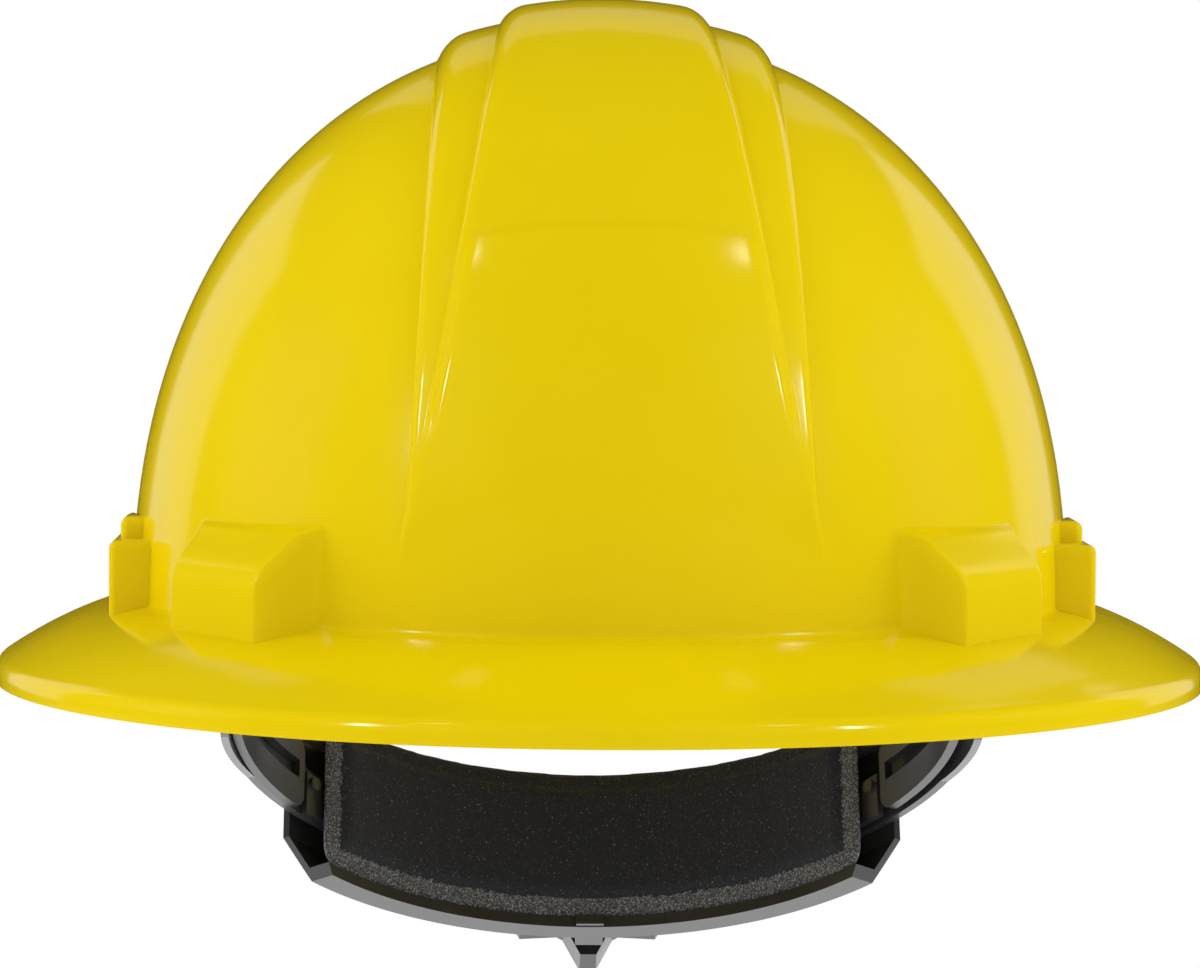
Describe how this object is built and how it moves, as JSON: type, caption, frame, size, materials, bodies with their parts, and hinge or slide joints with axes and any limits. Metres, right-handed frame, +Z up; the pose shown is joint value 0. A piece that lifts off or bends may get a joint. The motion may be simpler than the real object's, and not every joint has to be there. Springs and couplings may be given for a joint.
{
  "type": "full brim hard hat",
  "caption": "Full brim safety helmet with a stepped crest, corner key pockets, accessory slots and a webbing suspension whose headband is tightened by a ratchet knob at the nape.",
  "frame": {"origin": "middle of the head opening in the plane of the brim's lowest edge", "axes": "+Z up through the crown, -Y towards the wearer's front, +X towards the wearer's left"},
  "size_m": [0.286, 0.327, 0.2476],
  "materials": {
    "shell": "glossy moulded yellow",
    "suspension": "fine matt charcoal",
    "racks": "smooth, slightly shiny dark plastic",
    "webbing": "woven tape",
    "sweatband": "brushed foam-backed cloth",
    "pad": "foam-backed cloth with a pressed border",
    "gear": "smooth moulded",
    "spring": "smooth natural plastic",
    "screws": "plated"
  },
  "bodies": {
    "hat": {"shell": "shell", "front_left_key": "suspension", "front_right_key": "suspension", "rear_left_key": "suspension", "rear_right_key": "suspension", "crown_strap_under": "webbing", "crown_strap_over": "webbing", "headband": "suspension", "brow_sweatband": "sweatband", "nape_carrier": "suspension", "nape_pad": "pad", "ratchet_cover": "suspension", "left_cover_screw": "screws", "right_cover_screw": "screws"},
    "left_strap": {"left_nape_strap": "racks", "left_lap_post": "gear"},
    "right_strap": {"right_nape_strap": "racks", "right_lap_post": "gear"},
    "knob": {"pinion": "gear", "ratchet_knob": "suspension", "click_spring": "spring", "knob_cap": "gear"}
  },
  "joints": [
    {"name": "knob_turn", "type": "hinge", "parent": "hat", "child": "knob", "pos_m": [0, 0.09832, -0.0613], "axis": [0, 0.8387, -0.5446], "range_deg": [-720, 0]},
    {"name": "left_strap_slide", "type": "hinge", "parent": "hat", "child": "left_strap", "pos_m": [0, 0.015, -0.006], "axis": [0, 0.5446, 0.8387], "range_deg": [0, 31.33]},
    {"name": "right_strap_slide", "type": "hinge", "parent": "hat", "child": "right_strap", "pos_m": [0, 0.015, -0.006], "axis": [0, 0.5446, 0.8387], "range_deg": [-32.1, 0]}
  ],
  "couplings": [
    {"joint": "left_strap_slide", "follows": "knob_turn", "ratio": -0.043502},
    {"joint": "right_strap_slide", "follows": "knob_turn", "ratio": 0.044568}
  ]
}
